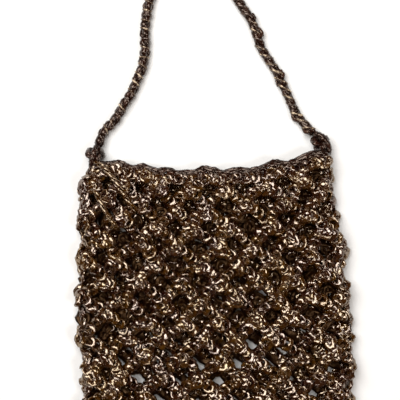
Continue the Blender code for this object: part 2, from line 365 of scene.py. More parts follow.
@dataclass(frozen=True)
class Loop:
    """One stitch: a closed loop of lace, its base under the last head and its head up.

    Round an angle from 0 at the base: along is minus cosine times half the length,
    across is sine times half the width, narrower towards the base by the pinch, and
    up is minus cosine times the lean. The section twists as a sine of the angle. By
    chance the sides sway up or down, the lace rolls, and sizes and points spread.
    """

    length: float = 9.8 * MM
    width: float = 10.0 * MM
    lean: float = 3.4 * MM
    pinch: float = 0.15
    twist: float = 0.8
    crumple: float = 0.4 * MM
    size_spread: float = 0.11
    girth_spread: float = 0.18
    section_spread: float = 0.12
    sway: float = 0.2
    roll: float = 0.6
    steps: int = 12


@dataclass
class MeshParts:
    """Points, quads, corner UVs in millimetres and a tone for each point."""

    points: Array
    quads: Array
    uv: Array
    tone: Array

    @staticmethod
    def joined(parts: Iterable["MeshParts"]) -> "MeshParts":
        """Joins several meshes.

        Args:
            parts: the meshes.

        Returns:
            All of them as one.
        """
        parts = list(parts)
        starts = np.cumsum([0] + [len(part.points) for part in parts[:-1]])
        return MeshParts(
            np.concatenate([part.points for part in parts]),
            np.concatenate([part.quads + start for part, start in zip(parts, starts)]),
            np.concatenate([part.uv for part in parts]),
            np.concatenate([part.tone for part in parts]),
        )


def section_ring(lace: Lace, roll: Array) -> tuple[Array, Array]:
    """The section's points, an ellipse of the lace's width and thickness turned by a roll.

    Args:
        lace: the lace.
        roll: turn of the section, any shape.

    Returns:
        Sideways and upward distances, with one more axis for the sides.
    """
    angle = 2 * math.pi * np.arange(lace.sides) / lace.sides
    flat, high = lace.width / 2 * np.cos(angle), lace.thickness / 2 * np.sin(angle)
    cos, sin = np.cos(roll)[..., None], np.sin(roll)[..., None]
    return flat * cos - high * sin, flat * sin + high * cos


def headings(path: Array, closed: bool) -> Array:
    """Directions along paths, each from a point's two neighbours.

    Args:
        path: points, their order on the last axis but one.
        closed: whether each path closes on itself.

    Returns:
        A unit direction for each point.
    """
    if closed:
        return unit(np.roll(path, -1, axis=-2) - np.roll(path, 1, axis=-2))
    return unit(np.gradient(path, axis=-2))


def swept(path: Array, up: Array, closed: bool, sideways: Array, upward: Array) -> Array:
    """Carries sections along paths: each point is the path's, plus the section's two ways.

    Args:
        path: points, their order on the last axis but one.
        up: the direction that the section's thickness faces.
        closed: whether each path closes on itself.
        sideways: the section's distances across the path, a row for each point.
        upward: its distances off the path.

    Returns:
        The points, with an axis more for the sides of the section.
    """
    tangent = headings(path, closed)
    side = unit(np.cross(tangent, up))
    top = np.cross(side, tangent)
    beside, above = sideways[..., None] * side[..., None, :], upward[..., None] * top[..., None, :]
    return path[..., None, :] + beside + above


def tube_faces(
    count: int, steps: int, lace: Lace, closed: bool, step_mm: float, shift: Array
) -> tuple[Array, Array]:
    """Quads and corner UVs of many tubes of lace laid out one after another.

    Args:
        count: number of tubes.
        steps: rings in each tube.
        lace: the lace, whose girth is half pi times its width and thickness together.
        closed: whether the last ring joins the first.
        step_mm: length between two rings.
        shift: for each tube, how many times the crease shift its UVs are moved.

    Returns:
        Point numbers, four to a quad, and UVs in millimetres along the lace and round it.
    """
    spans = steps if closed else steps - 1
    tube, ring, side = np.meshgrid(np.arange(count), np.arange(spans), np.arange(lace.sides), indexing="ij")
    quads = [(tube * steps + (ring + a) % steps) * lace.sides + (side + b) % lace.sides for a, b in CORNERS]
    side_mm = math.pi * (lace.width + lace.thickness) / 2 / lace.sides / MM
    uv = [np.stack([(ring + a) * step_mm, (side + b) * side_mm], axis=-1) for a, b in CORNERS]
    uv = np.stack(uv, axis=3) + shift[:, None, None, None, None] * np.array(CREASE_SHIFT)
    return np.stack(quads, axis=-1).reshape(-1, 4), uv.reshape(-1, 2)


def stitches(frames: Frames, loop: Loop, lace: Lace, seed: int) -> MeshParts:
    """A loop of lace at every frame.

    Args:
        frames: where the stitches lie.
        loop: the stitch's form.
        lace: its lace.
        seed: seed of the unevenness.

    Returns:
        The mesh of all the loops.
    """
    rng = np.random.default_rng(seed)
    count = len(frames.middle)
    size = 1 + loop.size_spread * rng.standard_normal((count, 1))
    angle = 2 * math.pi * np.arange(loop.steps) / loop.steps
    narrowed = 1 - loop.pinch * (1 + np.cos(angle)) / 2
    along = -np.cos(angle) * loop.length / 2 * size
    across = np.sin(angle) * loop.width / 2 * narrowed * size
    swaying = loop.sway * loop.lean * rng.standard_normal((count, 1)) * np.sin(angle)
    up = -np.cos(angle) * loop.lean + swaying
    path = (
        frames.middle[:, None]
        + along[..., None] * frames.along[:, None]
        + across[..., None] * frames.across[:, None]
        + up[..., None] * frames.up[:, None]
    )
    path = path + loop.crumple * rng.standard_normal(path.shape)
    roll = loop.twist * np.sin(angle + 2 * math.pi * rng.random((count, 1)))
    roll = roll + rng.uniform(-loop.roll, loop.roll, (count, 1))
    sideways, upward = section_ring(lace, roll)
    girth = np.exp(loop.girth_spread * rng.standard_normal((count, 1, 1)))
    swell = girth * (1 + loop.section_spread * rng.standard_normal((count, loop.steps, 1)))
    points = swept(path, frames.up[:, None], True, sideways * swell, upward * swell)
    tone = np.repeat(rng.random(count), loop.steps * lace.sides)
    step_mm = math.pi * (loop.length + loop.width) / 2 / loop.steps / MM
    quads, uv = tube_faces(count, loop.steps, lace, True, step_mm, rng.random(count))
    return MeshParts(points.reshape(-1, 3), quads, uv, tone)


def end_caps(steps: int, sides: int) -> Array:
    """Quads that close the first and the last ring of an open tube.

    Args:
        steps: rings in the tube.
        sides: points in each ring, an even number.

    Returns:
        Point numbers, four to a quad.
    """
    turn = np.arange(sides // 2 - 1)
    first = np.stack([0 * turn, 2 * turn + 1, 2 * turn + 2, (2 * turn + 3) % sides], axis=1)
    return np.concatenate([first, (steps - 1) * sides + first[:, ::-1]])


def strand(
    path: Array,
    up: Array,
    lace: Lace,
    closed: bool,
    seed: int,
    spread: Array | float = 1.0,
    swell: Array | float = 1.0,
) -> MeshParts:
    """One long lace: its section carried along a path.

    Args:
        path: points along its middle.
        up: the direction its thickness faces at each point.
        lace: the lace.
        closed: whether it closes on itself; an open one gets narrowed, closed ends.
        seed: seed of the unevenness.
        spread: share by which its section is wider than the lace, at each point.
        swell: share by which its whole section is larger than the lace, at each point.

    Returns:
        Its mesh.
    """
    steps = len(path)
    size = swell * (1 + lace.wobble * np.random.default_rng(seed).standard_normal(steps))
    if not closed:
        size[0] = size[-1] = lace.end_share
    sideways, upward = section_ring(lace, lace.rock * np.sin(np.arange(steps) * lace.rock_rate))
    points = swept(path, up, closed, sideways * (size * spread)[:, None], upward * size[:, None])
    step_mm = float(np.linalg.norm(np.diff(path, axis=0), axis=1).mean()) / MM
    quads, uv = tube_faces(1, steps, lace, closed, step_mm, np.array([lace.tone]))
    if not closed:
        caps = end_caps(steps, lace.sides)
        quads = np.concatenate([quads, caps])
        uv = np.concatenate([uv, np.zeros((caps.size, 2))])
    return MeshParts(points.reshape(-1, 3), quads, uv, np.full(steps * lace.sides, lace.tone))


def along_route(route: Array, step: float, fineness: int = 40) -> Array:
    """Even points on a smooth curve through a route.

    Between each pair of its points runs the cubic whose slopes are half the way between
    their neighbours.

    Args:
        route: the route's points.
        step: about how far apart the even points lie.
        fineness: steps worked out between two route points.

    Returns:
        The even points.
    """
    ends = np.vstack([2 * route[0] - route[1], route, 2 * route[-1] - route[-2]])
    u = np.linspace(0, 1, fineness, endpoint=False)[:, None]
    a, b, c, d = (ends[k:len(ends) - 3 + k, None] for k in range(4))
    bend = (2 * a - 5 * b + 4 * c - d) * u**2 + (3 * (b - c) + d - a) * u**3
    fine = np.vstack([(0.5 * (2 * b + (c - a) * u + bend)).reshape(-1, 3), route[-1:]])
    lengths = np.concatenate([[0], np.cumsum(np.linalg.norm(np.diff(fine, axis=0), axis=1))])
    at = np.linspace(0, lengths[-1], int(round(lengths[-1] / step)) + 1)
    return np.stack([np.interp(at, lengths, fine[:, axis]) for axis in range(3)], axis=1)


def two_plies(
    path: Array, lace: Lace, offset: float, half_turns: float, closed: bool, seed: int
) -> list[MeshParts]:
    """Two plies of lace that turn round a path, each at a cosine sideways and a sine up.

    Args:
        path: its points.
        lace: each ply's lace.
        offset: how far each ply's middle lies from the path.
        half_turns: half turns that the plies make in all.
        closed: whether the path closes on itself.
        seed: seed of the unevenness.

    Returns:
        The two plies.
    """
    facing = np.tile([0.0, 0.0, 1.0], (len(path), 1))
    side = unit(np.cross(headings(path, closed), facing))
    angle = half_turns * math.pi * np.arange(len(path))[:, None] / len(path)
    plies = []
    for number in range(2):
        out = np.cos(angle + math.pi * number) * side + np.sin(angle + math.pi * number) * facing
        plies.append(strand(path + offset * out, out, lace, closed, seed + number))
    return plies


def new_piece(name: str, parts: MeshParts, material: bpy.types.Material) -> bpy.types.Object:
    """Makes one piece of the bag from points and quads, pressed flat where it rests.

    Args:
        name: the piece's name.
        parts: its mesh.
        material: its finish.

    Returns:
        The piece, riding on the bag's one body.
    """
    mesh = bpy.data.meshes.new(name)
    quads = parts.quads.astype(np.int32)
    points = parts.points.copy()
    points[:, 2] = np.maximum(points[:, 2], REST)
    mesh.vertices.add(len(points))
    mesh.vertices.foreach_set("co", points.astype(np.float32).ravel())
    mesh.loops.add(quads.size)
    mesh.loops.foreach_set("vertex_index", quads.ravel())
    mesh.polygons.add(len(quads))
    mesh.polygons.foreach_set("loop_start", np.arange(0, quads.size, 4, dtype=np.int32))
    mesh.polygons.foreach_set("use_smooth", np.ones(len(quads), bool))
    mesh.update(calc_edges=True)
    layer = mesh.uv_layers.new(name="lace")
    layer.data.foreach_set("uv", parts.uv.astype(np.float32).ravel())
    tones = mesh.attributes.new("tone", "FLOAT", "POINT")
    tones.data.foreach_set("value", parts.tone.astype(np.float32))
    mesh.materials.append(material)
    piece = bpy.data.objects.new(name, mesh)
    bpy.context.scene.collection.objects.link(piece)
    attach(piece, "root")
    LOG.info("%s: %d faces", name, len(quads))
    return piece


@dataclass(frozen=True)
class PouchForm:
    """The flat pouch's inside surface, as the solids hold it.

    A column s runs over the front from the left fold, round the right fold and back
    under the back; a row t runs from the mouth down.
    """

    columns: int = 14
    rows: int = 15
    column_pitch: float = 44.0 * MM
    row_pitch: float = 21.4 * MM
    fold_phase: float = 0.12
    inner_floor: float = 8.0 * MM
    fold_radius: float = 3.5 * MM
    outline_to_fold: float = 6.0 * MM
    fold_pinch: tuple[float, float] = (4.6 * MM, 2.4 * MM)
    front_swell: float = 0.9 * MM
    swell_waves: tuple = ((9.0, 5.0), (-4.0, 23.0))
    centre: tuple[float, float] = (-0.55 * MM, -6.71 * MM)
    bottom_y: float = -173.0 * MM
    bottom_corner_rise: float = 7.0 * MM
    back_slip: float = 11.5 * MM
    slip_fades_from: float = 11.0

    # Side edges in millimetres: net row, left, right
    sides: tuple = (
        (0, -139.0, 127.5), (1, -152.5, 131.5), (3, -155.0, 139.5), (5, -156.0, 146.0),
        (7, -156.5, 151.0), (9, -156.5, 156.0), (11, -153.0, 156.5), (13, -151.5, 156.0),
        (15, -147.0, 152.0),
    )

    # The mouth's edge in millimetres: across, along
    mouth: tuple = (
        (-138.0, 148.0), (-122.0, 152.0), (-90.0, 147.5), (-40.0, 141.3), (13.0, 142.5),
        (53.0, 146.0), (69.0, 150.0), (91.5, 153.5), (107.0, 160.0), (125.0, 162.5),
    )

    # Unevenness: share of a column, share of a row, waves round, waves down, turn
    waves: tuple = (
        (0.070, 0.060, 2, 1.7, 0.4),
        (0.050, -0.080, 3, -2.6, 1.9),
        (-0.040, 0.070, 5, 3.4, 3.1),
        (0.035, 0.050, 7, -4.9, 5.2),
    )

    def uneven(self, s: Array, t: Array) -> tuple[Array, Array]:
        """Shifts columns and rows by slow waves, as hand work leaves them.

        Columns shift by the sine of each wave and rows by its cosine, but the rows'
        shifts fade out over two rows towards the mouth and the bottom.

        Args:
            s: columns.
            t: rows.

        Returns:
            The shifted columns and rows.
        """
        shift_s, shift_t = np.zeros_like(s), np.zeros_like(t)
        for of_column, of_row, round_it, down, turn in self.waves:
            angle = 2 * math.pi * (round_it * s / self.columns + down * t / self.rows) + turn
            shift_s += of_column * np.sin(angle)
            shift_t += of_row * np.cos(angle)
        return s + shift_s, t + shift_t * (ease(t / 2) * ease((self.rows - t) / 2))

    def inside(self, s: Array, t: Array) -> tuple[Array, Array]:
        """Points of the inside surface.

        The girth is a flat oblong with round folds, walked at even speed; its width is
        read from the side edges, drawn in by a cosine at every second row, and its rows
        run from the mouth's curve to the bottom's, whose corners rise with the fourth
        power of the distance from its middle. The back slips down by the root of a sine
        across it, and the front swells by two waves.

        Args:
            s: columns round the girth.
            t: rows from the mouth.

        Returns:
            Points, and how far each belongs to the front, 0 to 1.
        """
        s, t = self.uneven(np.asarray(s, float), np.asarray(t, float))
        rows, lefts, rights = (np.array(self.sides) * (1, MM, MM)).T
        pinch = ease(t / 2) * (1 + np.cos(math.pi * t)) / 2
        left = smooth_table(t, rows, lefts) + self.outline_to_fold + self.fold_pinch[0] * pinch
        right = smooth_table(t, rows, rights) - self.outline_to_fold - self.fold_pinch[1] * pinch
        radius = self.fold_radius
        flat = right - left - 2 * radius
        quarter = math.pi * radius / 2
        arc = ((s + self.fold_phase) / self.columns % 1.0) * (2 * flat + 4 * quarter)
        x, z = left + radius + arc - quarter, np.full_like(arc, radius)
        past_right = arc - quarter - flat
        past_back = past_right - 2 * quarter
        past_left = past_back - flat
        turn_right, turn_left = past_right / radius, past_left / radius
        bends = (
            (arc < quarter, left + radius, -radius * np.cos(arc / radius), radius * np.sin(arc / radius)),
            (past_right > 0, right - radius, radius * np.sin(turn_right), radius * np.cos(turn_right)),
            (past_back > 0, right - radius, -past_back, np.full_like(arc, -radius)),
            (past_left > 0, left + radius, -radius * np.sin(turn_left), -radius * np.cos(turn_left)),
        )
        for where, start, shift, height in bends:
            x = np.where(where, start + shift, x)
            z = np.where(where, height, z)
        front = (z + radius) / (2 * radius)
        across = (x - left) / (right - left)
        down = t / self.rows
        mouth_x, mouth_y = (np.array(self.mouth) * MM).T
        bottom = self.bottom_y + self.bottom_corner_rise * (2 * across - 1) ** 4
        y = smooth_table(x, mouth_x, mouth_y) * (1 - down) + bottom * down
        fade = 1 - ease((t - self.slip_fades_from) / (self.rows - self.slip_fades_from))
        y = y - self.back_slip * (1 - front) * np.sin(math.pi * np.clip(across, 0, 1)) ** 0.5 * fade
        swell = 1 + sum(np.sin(a * across + b * down) / 2 for a, b in self.swell_waves)
        z = self.inner_floor + radius + z + self.front_swell * swell * ease(2 * front - 1)
        return np.stack([x - self.centre[0], y - self.centre[1], z], axis=-1), front

    def outward(self, s: Array, t: Array) -> Array:
        """Directions out of the pouch, from the crossing of its two grid lines.

        Args:
            s: columns.
            t: rows.

        Returns:
            A unit direction for each place.
        """
        small = 0.02
        round_it = self.inside(s + small, t)[0] - self.inside(s - small, t)[0]
        down = self.inside(s, t + small)[0] - self.inside(s, t - small)[0]
        return unit(np.cross(down, round_it))

    def laid(self, s: Array, t: Array, lift: Array, toward: tuple[float, float]) -> Frames:
        """Frames at places of the net, heading towards a nearby place.

        Args:
            s: columns.
            t: rows.
            lift: heights over the inside surface.
            toward: small steps of column and row that give the heading.

        Returns:
            The frames.
        """
        middle, _ = self.inside(s, t)
        up = self.outward(s, t)
        along = self.inside(s + toward[0], t + toward[1])[0] - middle
        along = unit(along - (along * up).sum(axis=1, keepdims=True) * up)
        return Frames(middle + np.reshape(lift, (-1, 1)) * up, along, np.cross(up, along), up)

    def tops(self, rows: int) -> Array:
        """Half columns of the arches' tops, a line of them for each row."""
        return np.arange(0, 2 * self.columns, 2) + 1 - np.arange(rows)[:, None] % 2


@dataclass
class ArchNet:
    """The pouch's rounds of arches, their crossings, and the ground under them."""

    form: PouchForm
    finish: FoiledLeather
    # Finish of the ground and the bridges: the dull inner side, near-black with painted shade
    inner_shade_finish: FoiledLeather

    # Arches: their stitches, and lifts over the inside surface
    lace: Lace = Lace()
    loop: Loop = Loop()
    stitches_per_arch: int = 9
    roundness: float = 0.9
    first_row: float = 0.32
    top_lift: float = 5.9 * MM
    falling_lift: float = 5.6 * MM
    rising_lift: float = 3.4 * MM
    falls_from: float = 0.3
    falls_over: float = 0.3
    back_lift: float = 4.7 * MM
    fold_drop: float = 3.4 * MM
    place_spread: float = 0.3 * MM
    spin_spread: float = 0.30
    pitch_spread: float = 0.14

    # Knots where arches meet, a little below an arch's top and above the bottom
    knot_loop: Loop = Loop(10.4 * MM, 9.4 * MM, lean=4.2 * MM, twist=0.9)
    knot_lift: float = 6.6 * MM
    knot_below_top: float = 0.10
    knot_above_bottom: float = 0.25

    # Short stitches in each half gap: half columns to the side, rows from mouth or bottom
    mouth_fillings: tuple = ((-0.5, 0.36), (0, 0.30), (0.5, 0.36), (-0.2, 0.62), (0.2, 0.62))
    bottom_fillings: tuple = ((-0.5, -0.15), (0, -0.15), (0.5, -0.15), (-0.25, -0.45), (0.25, -0.45))
    filling_lift: float = 4.2 * MM

    # Stitches down both folds, and the two laces that wind round each other over them
    side_loop: Loop = Loop(10.0 * MM, 6.0 * MM, lean=1.2 * MM)
    side_margin: float = 0.5
    side_spacing: float = 0.36
    side_lift: float = 1.8 * MM
    side_spread: float = 0.05
    side_spin: float = 0.5
    side_lace: Lace = Lace(4.8 * MM, 3.8 * MM, wobble=0.12, tone=0.2)
    side_cord_margin: float = 0.1
    side_cord_steps: int = 12
    side_cord_lift: float = 3.0 * MM
    side_cord_swing: float = 1.2 * MM
    side_cord_sway: float = 0.06
    side_turns: float = 0.75

    # Bridges: stitches of the back under the front's gaps, down to where the net opens
    bridge_loop: Loop = Loop(12.0 * MM, 10.0 * MM, lean=0.8 * MM)
    bridges_per_gap: int = 3
    bridge_height: float = 6.0 * MM
    bridge_spread: float = 4.0 * MM
    bridge_jitter: float = 0.25
    bridge_front: float = 0.9
    open_from_row: int = 8
    open_from_half: int = 2

    # The ground's laces: one heading lies over the other, and the back's are wider, but
    # not low down, where the net opens
    ground_lace: Lace = Lace(9.5 * MM, 2.4 * MM, wobble=0.08, tone=0.1)
    ground_start: float = -0.05
    ground_steps: int = 8
    ground_lift: float = 2.4 * MM
    ground_overlap: float = 0.3 * MM
    ground_back_lift: float = 0.4 * MM
    back_spread: float = 0.65
    back_opens_from: float = 7.0
    back_opens_over: float = 4.0
    back_opens_by: float = 0.9
    fold_narrowing: float = 0.5

    # Laces drawn long over the stitches at the left corner, in millimetres: across, along, height
    drawn_lace: Lace = Lace(4.6 * MM, 3.0 * MM, wobble=0.08, tone=0.9)
    drawn_offset: float = 1.7 * MM
    drawn_turn: float = 26.0 * MM
    drawn_step: float = 1.5 * MM
    drawn: tuple = (
        (
            (-136.0, 162.4, 14.0), (-128.6, 158.0, 23.0), (-121.9, 153.0, 28.0),
            (-113.5, 144.0, 30.0), (-106.2, 134.0, 31.0), (-99.5, 123.2, 31.0),
            (-92.8, 113.8, 29.5), (-87.5, 106.0, 25.0),
        ),
        (
            (-134.5, 131.5, 23.0), (-130.5, 124.5, 28.5), (-124.0, 111.5, 30.5),
            (-118.5, 102.0, 30.5), (-112.0, 92.0, 28.5), (-108.0, 85.0, 24.0),
        ),
    )

    def arch_steps(self) -> Array:
        """Shares along an arch that space its stitches evenly.

        The arch is a sine to the power of the roundness over one column.

        Returns:
            The shares, from 0 to 1.
        """
        fine = np.linspace(0, 1, 401)
        x = fine * self.form.column_pitch
        y = np.sin(math.pi * fine) ** self.roundness * self.form.row_pitch
        length = np.concatenate([[0], np.cumsum(np.hypot(np.diff(x), np.diff(y)))])
        even = (np.arange(self.stitches_per_arch) + 0.5) / self.stitches_per_arch
        return np.interp(even * length[-1], length, fine)

    def arch_points(self, share: Array) -> tuple[Array, Array, Array]:
        """Places on every arch.

        Args:
            share: shares along an arch, from 0 to 1.

        Returns:
            Columns, rows and shares, arch after arch.
        """
        tops = self.form.tops(self.form.rows)
        share = share[None, None]
        s = (tops[..., None] - 1 + 2 * share) / 2
        rows = np.arange(self.form.rows)[:, None, None]
        t = rows + 1 - np.sin(math.pi * np.clip(share, 0, 1)) ** self.roundness
        t = np.maximum(t, self.first_row)
        return s.ravel(), (t + 0 * s).ravel(), (share + 0 * s).ravel()

    def arches(self) -> tuple[Frames, Array]:
        """Where every arch stitch lies, high on the falling leg and highest at the top.

        Returns:
            The frames, and how far each belongs to the front, 0 to 1.
        """
        share = self.arch_steps()
        s, t, at = self.arch_points(share)
        small = 0.01
        s_after, t_after, _ = self.arch_points(np.clip(share + small, 0, 1))
        s_before, t_before, _ = self.arch_points(np.clip(share - small, 0, 1))
        middle, front = self.form.inside(s, t)
        up = self.form.outward(s, t)
        along = self.form.inside(s_after, t_after)[0] - self.form.inside(s_before, t_before)[0]
        along = unit(along - (along * up).sum(axis=1, keepdims=True) * up)
        falls = ease((at - self.falls_from) / self.falls_over)
        lift = self.rising_lift + (self.falling_lift - self.rising_lift) * falls
        lift = lift + (self.top_lift - lift) * np.sin(math.pi * at) ** 3
        lift = self.level(lift, front)
        return Frames(middle + lift[:, None] * up, along, np.cross(up, along), up), front

    def level(self, front_lift: Array, front: Array) -> Array:
        """A lift blended from front to back, and lower where the net turns the fold."""
        return front_lift * front + self.back_lift * (1 - front) - self.fold_drop * 4 * front * (1 - front)

    def knots(self) -> tuple[Frames, Array]:
        """Where arches meet in knots, each a wider loop over an arch's top.

        Returns:
            The frames, and how far each belongs to the front, 0 to 1.
        """
        tops = self.form.tops(self.form.rows + 1)
        s = (tops / 2).ravel()
        t = (np.arange(self.form.rows + 1)[:, None] + self.knot_below_top + 0 * tops).ravel()
        t = np.clip(t, self.first_row, self.form.rows - self.knot_above_bottom)
        front = self.form.inside(s, t)[1]
        return self.form.laid(s, t, self.level(self.knot_lift, front), SLANTING), front

    def fillings(self) -> tuple[Frames, Array]:
        """Where upright stitches close the half gaps along the mouth and the bottom.

        Returns:
            The frames, and how far each belongs to the front, 0 to 1.
        """
        edges = ((0, 0, self.mouth_fillings), (1, self.form.rows, self.bottom_fillings))
        places = [
            ((half + shift) / 2, edge + row)
            for first, edge, offsets in edges
            for half in range(first, 2 * self.form.columns, 2)
            for shift, row in offsets
        ]
        s, t = np.array(places).T
        front = self.form.inside(s, t)[1]
        return self.form.laid(s, t, self.level(self.filling_lift, front), DOWN), front

    def side_stitches(self) -> Frames:
        """Where upright stitches close the gaps along both folds.

        Returns:
            The frames.
        """
        t = np.arange(self.side_margin, self.form.rows - self.side_margin, self.side_spacing)
        folds = np.array([[0.0], [self.form.columns / 2]]) - self.form.fold_phase
        rng = np.random.default_rng(14)
        s = (folds + self.side_spread * rng.standard_normal((2, len(t)))).ravel()
        frames = self.form.laid(s, np.tile(t, 2), np.full(len(s), self.side_lift), DOWN)
        return frames.turned(self.side_spin * rng.standard_normal(len(s)), 0 * s)

    def side_cords(self) -> list[MeshParts]:
        """Two laces that wind round each other down each fold.

        Round an angle that grows with the row, each swings to and fro across the fold
        with its cosine and out of it with its sine.

        Returns:
            The four laces.
        """
        margin = self.side_cord_margin
        t = np.linspace(margin, self.form.rows - margin, self.side_cord_steps * self.form.rows)
        laces = []
        for number in range(4):
            fold = number // 2 * self.form.columns / 2 - self.form.fold_phase
            angle = 2 * math.pi * self.side_turns * t + number * math.pi
            s = fold + self.side_cord_sway * np.cos(angle)
            path, _ = self.form.inside(s, t)
            up = self.form.outward(s, t)
            lift = self.side_cord_lift + self.side_cord_swing * np.sin(angle)
            laces.append(strand(path + lift[:, None] * up, up, self.side_lace, False, 71 + number))
        return laces

    def drawn_laces(self) -> MeshParts:
        """Pairs of laces that turn round each other along the drawn routes.

        Returns:
            Their mesh.
        """
        laces = []
        for number, route in enumerate(self.drawn):
            path = along_route(np.array(route) * MM, self.drawn_step)
            half_turns = 2 * self.drawn_step * len(path) / self.drawn_turn
            laces += two_plies(path, self.drawn_lace, self.drawn_offset, half_turns, False, 81 + 2 * number)
        return MeshParts.joined(laces)

    def bridges(self) -> Frames:
        """Where stitches of the back lie under the front's gaps and darken them, in the inner finish with
        its painted shade.

        Low down the net is drawn open, and there the gaps stay clear. The stitches lie
        round the middle of each other gap, at even turns with some chance.

        Returns:
            The frames.
        """
        tops = self.form.tops(self.form.rows - 1)
        rows = np.arange(self.form.rows - 1)[:, None] + 0 * tops
        darkened = (rows < self.open_from_row) | (tops < self.open_from_half)
        middle, front = self.form.inside(tops[darkened] / 2, rows[darkened] + 1.0)
        middle = np.repeat(middle[front > self.bridge_front], self.bridges_per_gap, axis=0)
        middle[:, 2] = self.bridge_height
        rng = np.random.default_rng(12)
        count = len(middle)
        turn = np.arange(count) % self.bridges_per_gap / self.bridges_per_gap
        angle = 2 * math.pi * (turn + self.bridge_jitter * rng.random(count))
        outward = np.stack([np.cos(angle), np.sin(angle), 0 * angle], axis=1)
        up = np.tile([0.0, 0.0, 1.0], (count, 1))
        return Frames(middle + self.bridge_spread * outward, np.cross(up, outward), -outward, up)

    def ground(self) -> MeshParts:
        """Pulled-through lace under the stitches, a flat strand along every diagonal.

        Returns:
            Its mesh.
        """
        start, rows = self.ground_start, self.form.rows
        t = np.linspace(start, rows + start, self.ground_steps * rows + 1)
        opening = 1 - self.back_opens_by * ease((t - self.back_opens_from) / self.back_opens_over)
        strands = []
        for half in range(1, 2 * self.form.columns, 2):
            for heading in (1, -1):
                s = (half + heading * t) / 2
                path, front = self.form.inside(s, t)
                up = self.form.outward(s, t)
                lift = self.ground_lift + self.ground_overlap * heading + self.ground_back_lift * (1 - front)
                spread = 1 + self.back_spread * (front < 0.5) * opening
                spread = spread * (1 - self.fold_narrowing * 4 * front * (1 - front))
                strands.append(strand(path + lift[:, None] * up, up, self.ground_lace, False, half, spread))
        return MeshParts.joined(strands)

    def build(self) -> list[bpy.types.Object]:
        """Makes the arches and knots of the front and the back, and what lies under them.

        Returns:
            The pieces, the ground first.
        """
        # The dull finish carries painted shade for the ground and the bridges
        gloss, dull = self.finish.material(), self.inner_shade_finish.material()
        rng = np.random.default_rng(5)
        pieces = []
        kinds = (
            ("arches", self.arches(), self.loop),
            ("knots", self.knots(), self.knot_loop),
            ("fillings", self.fillings(), self.loop),
        )
        for kind, (frames, front), loop in kinds:
            count = len(front)
            frames.middle = frames.middle + self.place_spread * rng.standard_normal((count, 3))
            flat = np.abs(2 * front - 1)
            spin = self.spin_spread * rng.standard_normal(count)
            pitch = self.pitch_spread * flat * rng.standard_normal(count)
            frames = frames.turned(spin, pitch)
            for face, chosen in ((Face.FRONT, front > 0.5), (Face.BACK, front <= 0.5)):
                parts = stitches(frames.only(chosen), loop, self.lace, seed=11)
                pieces.append(new_piece(f"pouch_{kind}_{face.value}", parts, gloss))
        bridges = stitches(self.bridges(), self.bridge_loop, self.lace, seed=13)
        sides = [stitches(self.side_stitches(), self.side_loop, self.lace, seed=15)] + self.side_cords()
        pieces.append(new_piece("pouch_drawn_laces", self.drawn_laces(), gloss))
        pieces.append(new_piece("pouch_bridges", bridges, dull))
        pieces.append(new_piece("pouch_side_stitches", MeshParts.joined(sides), gloss))
        ground = new_piece("pouch_ground", self.ground(), dull)
        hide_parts("pouch")
        return [ground] + pieces


